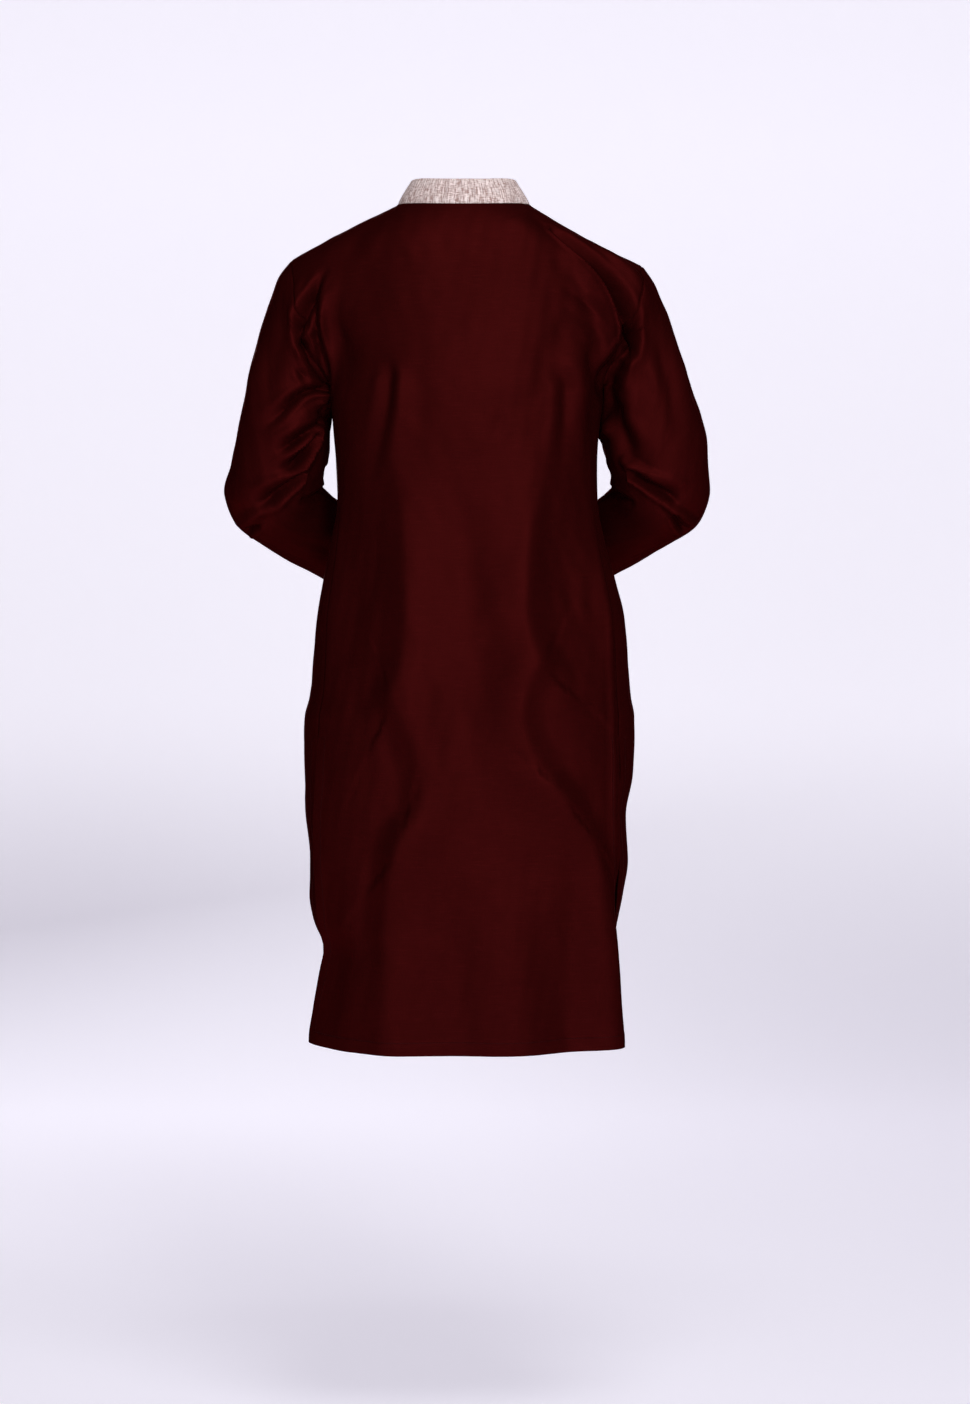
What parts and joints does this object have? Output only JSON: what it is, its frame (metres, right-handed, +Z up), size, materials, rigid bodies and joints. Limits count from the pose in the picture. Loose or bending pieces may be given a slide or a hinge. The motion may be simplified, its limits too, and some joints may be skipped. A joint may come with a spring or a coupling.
{
  "type": "kurta tunic",
  "caption": "Knee-length silk kurta tunic with a pale band collar, short buttoned front opening, long sleeves bent forward and side slits, empty and held as worn",
  "frame": {"origin": "On the centre line of the garment, level with the neck points, where the shoulder seams meet the collar: where the wearer's shoulders hold it", "axes": "+Z up, the front faces -Y, and +X is the garment's left side"},
  "size_m": [0.621, 0.3947, 1.0985],
  "materials": {
    "silk": "soft sheen, slubbed",
    "collar_weave": "matte, heathered",
    "button_shell": "satin"
  },
  "bodies": {
    "root": {"back": "silk", "front": "silk", "placket_over": "silk", "placket_under": "silk", "sleeve_left": "silk", "sleeve_right": "silk", "collar": "collar_weave", "button_1": "button_shell", "button_2": "button_shell", "button_3": "button_shell", "button_4": "button_shell"}
  },
  "joints": []
}
